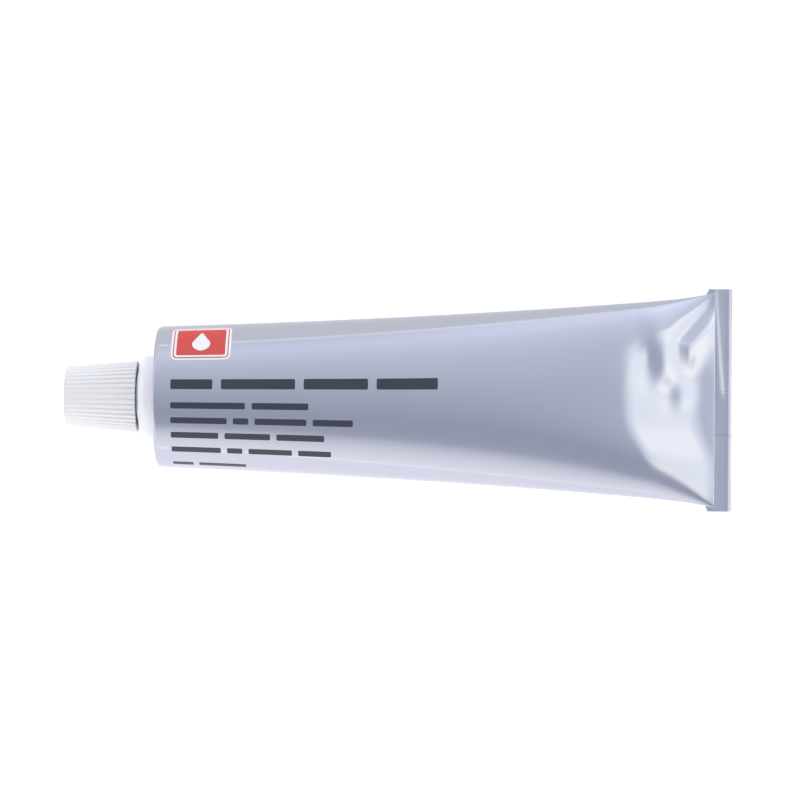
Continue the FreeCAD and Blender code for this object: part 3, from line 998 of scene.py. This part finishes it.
@dataclass
class TubePrint:
    """The print on the front: a white plate with a red keyline and field, and dark bars for its lines."""

    body: TubeBody
    film: float = 0.02
    panel: PrintBar = PrintBar(start=3.7, end=16.2, low=7.9, high=18.4, rounding=1.3)
    keyline: tuple[float, float] = (0.45, 0.68)
    margin: float = 1.15
    lines: tuple[PrintLine, ...] = (
        PrintLine(low=1.55, high=3.6, words=((3.9, 12.6), (14.4, 29.8), (31.6, 45.0), (46.8, 59.6))),
        PrintLine(low=-2.45, high=-1.15, words=((3.9, 19.4), (20.8, 32.6))),
        PrintLine(low=-5.6, high=-4.3, words=((3.9, 15.6), (16.9, 20.1), (21.4, 32.2), (33.5, 41.9))),
        PrintLine(low=-9.0, high=-7.6, words=((3.9, 13.8), (15.1, 24.6), (25.9, 35.9))),
        PrintLine(low=-12.9, high=-11.4, words=((3.9, 14.2), (15.5, 18.7), (20.0, 29.1), (30.4, 37.3))),
        PrintLine(low=-18.3, high=-16.9, words=((3.9, 8.2), (9.4, 19.3))),
    )
    drop_centre: tuple[float, float] = (9.95, 12.9)
    drop_radius: float = 1.9
    drop_tip: float = 3.7
    drop_taper: float = 0.55
    drop_sink: float = 0.8
    drop_columns: int = 65
    drop_rows: int = 8
    drop_core: float = 0.02
    arc_steps: int = 8
    bar_columns: int = 9
    probe_along: float = 0.05
    probe_turn: float = 0.01

    def on_body(self, along: np.ndarray, girth: np.ndarray, film: float) -> np.ndarray:
        """Places on the body at a distance round from its top, lifted by the film's thickness."""
        radius = self.body.diameter / 2
        angle = math.pi / 2 - girth / radius
        point = self.body.surface(along, angle)
        ahead = self.body.surface(along + self.probe_along, angle) - point
        round_it = self.body.surface(along, angle + self.probe_turn) - point
        normal = np.cross(ahead, round_it)
        normal = normal / np.linalg.norm(normal, axis=-1, keepdims=True)
        outward = np.sign(np.sum(normal * (point * np.array([0.0, 1.0, 1.0])), axis=-1, keepdims=True))
        return point + normal * outward * film

    def patch(self, name: str, along: np.ndarray, girth: np.ndarray, film: float,
              material: Material, slot: Slot) -> Object:
        """A grid of ink on the body, facing outwards."""
        grid = self.body.axes.lay(self.on_body(along, girth, film))
        rows, columns = along.shape
        quads = grid_quads(rows, columns, wrap=False)
        vertices = grid.reshape(-1, 3)
        middle = quads[len(quads) // 2]
        first, second, third = (vertices[middle[number]] for number in range(3))
        facing = np.cross(second - first, third - second)
        centre = np.array(self.body.axes.shoulder) + (first - np.array(self.body.axes.shoulder)) * [1, 0, 0]
        if facing @ (first - centre) < 0:
            quads = quads[:, ::-1]
        return finish_piece(make_object(name, vertices, quads, [], material), Body.TUBE, slot)

    def bar(self, name: str, bar: PrintBar, film: float, material: Material, slot: Slot) -> Object:
        """A rounded bar: each row is as wide as the corner arcs leave it."""
        half_length = (bar.end - bar.start) / 2
        half_height = (bar.high - bar.low) / 2
        rounding = min(bar.rounding, half_height, half_length)
        turn = np.linspace(0, math.pi / 2, self.arc_steps)
        ends = half_length - rounding + rounding * np.sin(turn)
        straight = np.linspace(0, half_length - rounding, max(3, int(half_length * 2)), endpoint=False)
        offset = np.concatenate([-ends[::-1], -straight[::-1][:-1], straight, ends])
        inset = rounding - np.sqrt(np.maximum(rounding ** 2 - np.maximum(
            np.abs(offset) - half_length + rounding, 0.0) ** 2, 0.0))
        share = np.linspace(-1, 1, self.bar_columns)
        middle = (bar.start + bar.end) / 2
        along = np.broadcast_to((middle + offset)[:, None], (len(offset), self.bar_columns))
        girth = (bar.low + bar.high) / 2 + (half_height - inset)[:, None] * share[None, :]
        return self.patch(name, along, girth, film, material, slot)

    def drop(self, material: Material) -> Object:
        """A plain drop: a circle drawn out to a point on one side, filled from its middle."""
        angle = np.linspace(0, 2 * math.pi, self.drop_columns)
        upward = np.maximum(np.sin(angle), 0.0)
        pull = upward ** 3 * (self.drop_tip - self.drop_radius)
        narrow = 1 - self.drop_taper * upward ** 2
        rim_along = self.drop_radius * np.cos(angle) * narrow
        rim_girth = self.drop_radius * np.sin(angle) + pull
        share = np.linspace(self.drop_core, 1, self.drop_rows)
        along = self.drop_centre[0] + share[:, None] * rim_along[None, :]
        girth = self.drop_centre[1] - self.drop_sink + share[:, None] * rim_girth[None, :]
        return self.patch("print_drop", along, girth, 5 * self.film, material, Slot.WHITE_INK)

    def build(self, dark: Material, red: Material, white: Material) -> None:
        """All the fields of ink."""
        self.bar("print_plate", self.panel, self.film, white, Slot.WHITE_INK)
        self.bar("print_keyline", self.panel.inset(self.keyline[0]), 2 * self.film, red, Slot.RED_INK)
        self.bar("print_ground", self.panel.inset(self.keyline[1]), 3 * self.film, white, Slot.WHITE_INK)
        self.bar("print_field", self.panel.inset(self.margin), 4 * self.film, red, Slot.RED_INK)
        self.drop(white)
        for row, line in enumerate(self.lines, start=1):
            for column, (start, end) in enumerate(line.words, start=1):
                bar = PrintBar(start=start, end=end, low=line.low, high=line.high)
                self.bar("print_line_%d_bar_%d" % (row, column), bar, self.film, dark, Slot.DARK_INK)


# Studio

def between(tree: NodeTree, angle: NodeSocket, bounds: tuple[float, float],
            top: float = 1.0, smooth: bool = False) -> NodeSocket:
    """From nought to the top value as an angle passes from one bound, in degrees, to the other."""
    start, end = (math.radians(bound) for bound in bounds)
    settings = {"interpolation_type": "SMOOTHSTEP" if smooth else "LINEAR",
                "From Min": start, "From Max": end, "To Max": top}
    return add_node(tree, "ShaderNodeMapRange", settings, {"Value": angle}).outputs["Result"]


def flat_sheet(name: str, half: float, edges: tuple[float, float], height: float,
               material: Material) -> Object:
    """A flat sheet from half its length, its two edges across and its height, in metres."""
    near, far = edges
    corners = np.array([[-half, near, height], [half, near, height],
                        [half, far, height], [-half, far, height]])
    return make_object(name, corners, np.array([[0, 1, 2, 3]]), [], material)


@dataclass
class Studio:
    """A pale floor, soft light and a camera square to the tube's axis."""

    axes: TubeAxes
    distance: float = 600.0
    pixels_per_mm: float = 4.69
    centre_along: float = 51.7
    centre_across: float = -0.38
    roll_degrees: float = 0.39
    frame_pixels: float = 800.0
    sensor: float = 36.0
    floor_size: float = 4.0
    floor_glow: float = 0.3
    clip_end: float = 10.0
    wall_strength: float = 1.09
    wall_span: tuple[float, float] = (-90, 90)
    far_gain: float = 0.33
    far_rise: tuple[float, float] = (8, 38)
    far_lean: tuple[float, float] = (-24, 10)
    panel_rise: tuple[float, float] = (28, 54)
    panel_low_side: tuple[float, float] = (-34, -14)
    panel_high_side: tuple[float, float] = (22, 12)
    panel_spread: tuple[float, float] = (3, 12)
    lamps: tuple[tuple[float, float], ...] = ((-0.9, 8.0), (0.9, 6.5))
    lamp_along: float = -0.1
    lamp_height: float = 0.5
    lamp_size: float = 1.2
    panel_middle: tuple[float, float, float, float] = (1.05, 1.08, 1.10, 1.0)
    panel_sides: tuple[float, float, float, float] = (1.30, 1.30, 1.23, 1.0)
    # Side, glow and colour of each glowing sheet that paints reflections: a painted highlight on -Y, a
    # painted shade on +Y.
    painted_reflection_cards: tuple[tuple[float, float, str], ...] = ((-1.0, 1.1, "#FAF9FF"), (1.0, 0.8, "#FAFBFF"))
    card_edge: float = 0.017
    card_reach: float = 0.7
    card_lift: float = 0.0005
    walls: tuple[tuple[float, str], ...] = (
        (-90, "#FFFFFF"), (-70, "#F1F1F4"), (-60, "#E3E4EA"), (-52, "#CFD1DA"), (-46, "#B4B9C5"),
        (-40, "#AEB1BD"), (-24, "#ABAEBB"), (-5, "#B4B9C4"), (16, "#C0C5D0"), (40, "#CED4DE"),
        (72, "#E6EAF7"), (81, "#E0E4F0"), (90, "#DADDE6"),
    )

    def camera(self) -> None:
        """Look straight down on the tube's axis, with the cap to the left."""
        data = bpy.data.cameras.new("camera")
        data.sensor_width = self.sensor
        data.lens = self.sensor * self.pixels_per_mm * self.distance / self.frame_pixels
        data.clip_end = self.clip_end
        camera = bpy.data.objects.new("camera", data)
        bpy.context.scene.collection.objects.link(camera)
        place = self.axes.lay(np.array([self.centre_along, self.centre_across, self.distance]))
        ground = self.axes.lay(np.array([self.centre_along, self.centre_across, 0.0]))
        right = self.axes.lay(np.array([self.centre_along + 1.0, self.centre_across, 0.0])) - ground
        back = Vector(place - ground).normalized()
        right = Vector(right).normalized()
        up = back.cross(right)
        roll = Matrix.Rotation(math.radians(self.roll_degrees), 3, "Z")
        turn = Matrix((right, up, back)).transposed() @ roll
        camera.matrix_world = Matrix.Translation(Vector(place)) @ turn.to_4x4()
        bpy.context.scene.camera = camera

    def floor(self) -> None:
        """A white floor that shows bright to the camera and to mirrors, and keeps the shadow."""
        half = self.floor_size / 2
        material, tree, output = new_material("studio_floor")
        rays = add_node(tree, "ShaderNodeLightPath").outputs
        seen = calculate(tree, "MAXIMUM", rays["Is Camera Ray"], rays["Is Glossy Ray"])
        seen = calculate(tree, "MAXIMUM", seen, rays["Is Transmission Ray"])
        glow = add_node(tree, "ShaderNodeEmission", {"Color": linear("#FFFFFF")},
                        {"Strength": calculate(tree, "MULTIPLY", seen, self.floor_glow)})
        matt = add_node(tree, "ShaderNodeBsdfDiffuse", {"Color": linear("#F2F2F4")})
        both = add_node(tree, "ShaderNodeAddShader", {}, {0: matt.outputs[0], 1: glow.outputs[0]})
        tree.links.new(both.outputs[0], output.inputs["Surface"])
        floor = flat_sheet("studio_floor", half, (-half, half), 0.0, material)

    def add_painted_reflection_cards(self) -> None:
        """Glowing sheets on the floor, one each side, that only mirrors see: a pale painted highlight below,
        and a greyer painted shade above that stands in for the floor's shade there.
        """
        for side, glow, colour in self.painted_reflection_cards:
            edges = (side * self.card_edge, side * self.card_reach)
            name = "painted_shade_card" if side > 0 else "painted_highlight_card"
            material, tree, output = new_material(name)
            # An emission sheet seen only in reflections: a painted highlight below, a painted shade above.
            painted_reflection = add_node(tree, "ShaderNodeEmission", {"Color": linear(colour), "Strength": glow})
            tree.links.new(painted_reflection.outputs[0], output.inputs["Surface"])
            card = flat_sheet(name, self.card_reach, edges, self.card_lift, material)
            for ray in ("camera", "diffuse", "shadow", "transmission"):
                setattr(card, "visible_" + ray, False)

    def world(self) -> None:
        """Soft surroundings: grey overhead, paler towards +Y, with a bright panel beyond the tail.

        Lean is a direction's angle from upright towards +Y, and ahead its angle towards +X.
        """
        world = bpy.data.worlds.new("studio")
        bpy.context.scene.world = world
        world.use_nodes = True
        tree = world.node_tree
        tree.nodes.clear()
        output = add_node(tree, "ShaderNodeOutputWorld")
        place = add_node(tree, "ShaderNodeTexCoord")
        toward = add_node(tree, "ShaderNodeSeparateXYZ", {}, {0: place.outputs["Generated"]}).outputs
        lean = calculate(tree, "ARCTAN2", toward["Y"], toward["Z"])
        ahead = calculate(tree, "ARCTAN2", toward["X"], toward["Z"])
        ramp = add_node(tree, "ShaderNodeValToRGB", {}, {"Fac": between(tree, lean, self.wall_span)})
        elements = ramp.color_ramp.elements
        first, last = self.wall_span
        while len(elements) < len(self.walls):
            elements.new(0.5)
        for element, (degrees, colour) in zip(elements, self.walls):
            element.position = (degrees - first) / (last - first)
            element.color = linear(colour)
        sides = calculate(tree, "MULTIPLY", between(tree, lean, self.panel_low_side, smooth=True),
                          between(tree, lean, self.panel_high_side, smooth=True))
        panel_share = calculate(tree, "MULTIPLY", between(tree, ahead, self.panel_rise, smooth=True), sides)
        gain = calculate(tree, "MULTIPLY_ADD", between(tree, ahead, self.far_rise, top=self.far_gain),
                         between(tree, lean, self.far_lean), 1.0)
        wall = add_node(tree, "ShaderNodeVectorMath", {"operation": "SCALE"},
                        {0: ramp.outputs["Color"], "Scale": gain})
        aside = between(tree, calculate(tree, "ABSOLUTE", lean), self.panel_spread)
        panel = add_node(tree, "ShaderNodeMix",
                         {"data_type": "RGBA", 6: self.panel_middle, 7: self.panel_sides}, {"Factor": aside})
        seen = add_node(tree, "ShaderNodeMix", {"data_type": "RGBA"},
                        {"Factor": panel_share, 6: wall.outputs[0], 7: panel.outputs[2]})
        background = add_node(tree, "ShaderNodeBackground", {"Strength": self.wall_strength},
                              {"Color": seen.outputs[2]})
        tree.links.new(background.outputs[0], output.inputs["Surface"])

    def add_lamps(self) -> None:
        """A broad lamp on each side, left out of reflections, that light the matt pieces evenly."""
        for number, (across, watts) in enumerate(self.lamps, start=1):
            data = bpy.data.lights.new("side_lamp_%d" % number, "AREA")
            data.shape = "DISK"
            data.size = self.lamp_size
            data.energy = watts
            lamp = bpy.data.objects.new("side_lamp_%d" % number, data)
            bpy.context.scene.collection.objects.link(lamp)
            place = Vector((self.lamp_along, across, self.lamp_height))
            lamp.location = place
            lamp.rotation_euler = (-place).to_track_quat("-Z", "Y").to_euler()
            lamp.visible_glossy = False

    def build(self) -> None:
        """Set the stage."""
        bpy.context.scene.view_settings.view_transform = "Standard"
        self.camera()
        self.floor()
        self.add_painted_reflection_cards()
        self.world()
        self.add_lamps()


def main() -> None:
    """Build every piece in order and dress the nodes that stay."""
    thread = Thread()
    axes = TubeAxes.from_frame(ScrewCap.mouth_place)
    LOG.info("tilt %.3f degrees", math.degrees(axes.tilt))
    Studio(axes).build()
    foil = LacqueredFoil("lacquered_aluminium_foil").build()
    scuffed_foil = LacqueredFoil("jaw_pressed_foil", roughness=0.28, swell_mm=3.0,
                                 grain_mm=0.2, grain_depth_mm=0.002).build()
    cap_white = MouldedPolyethylene("matt_moulded_polyethylene", "#D6D4D4", 0.55).build()
    collar_white = MouldedPolyethylene("satin_moulded_polyethylene", "#E2E2E5", 0.32).build()
    liner_foam = MouldedPolyethylene("closed_cell_foam", "#E2DFD4", 0.8,
                                     grain_mm=0.4, grain_depth_mm=0.03).build()
    dark = PrintedInk("near_black_ink", "#30333F").build()
    red = PrintedInk("red_ink", "#C43A35").build()
    white = PrintedInk("white_ink", "#DADADD").build()
    tube = TubeBody(axes)
    finish_piece(tube.build(foil), Body.TUBE, Slot.LACQUER, "tube")
    finish_piece(Neck(axes, thread).build(foil), Body.TUBE, Slot.LACQUER, "tube")
    finish_piece(FoldedTail(axes).build(scuffed_foil), Body.TUBE, Slot.LACQUER, "tube")
    finish_piece(Collar(axes).build(collar_white), Body.TUBE, Slot.COLLAR, "neck_collar")
    finish_piece(ScrewCap(axes, thread).build(cap_white), Body.CAP, Slot.CAP, "cap")
    TubePrint(tube).build(dark, red, white)
    liner = frame["nodes"]["cap_liner"]
    liner.data.materials.clear()
    liner.data.materials.append(liner_foam)


if __name__ == "__main__":
    main()
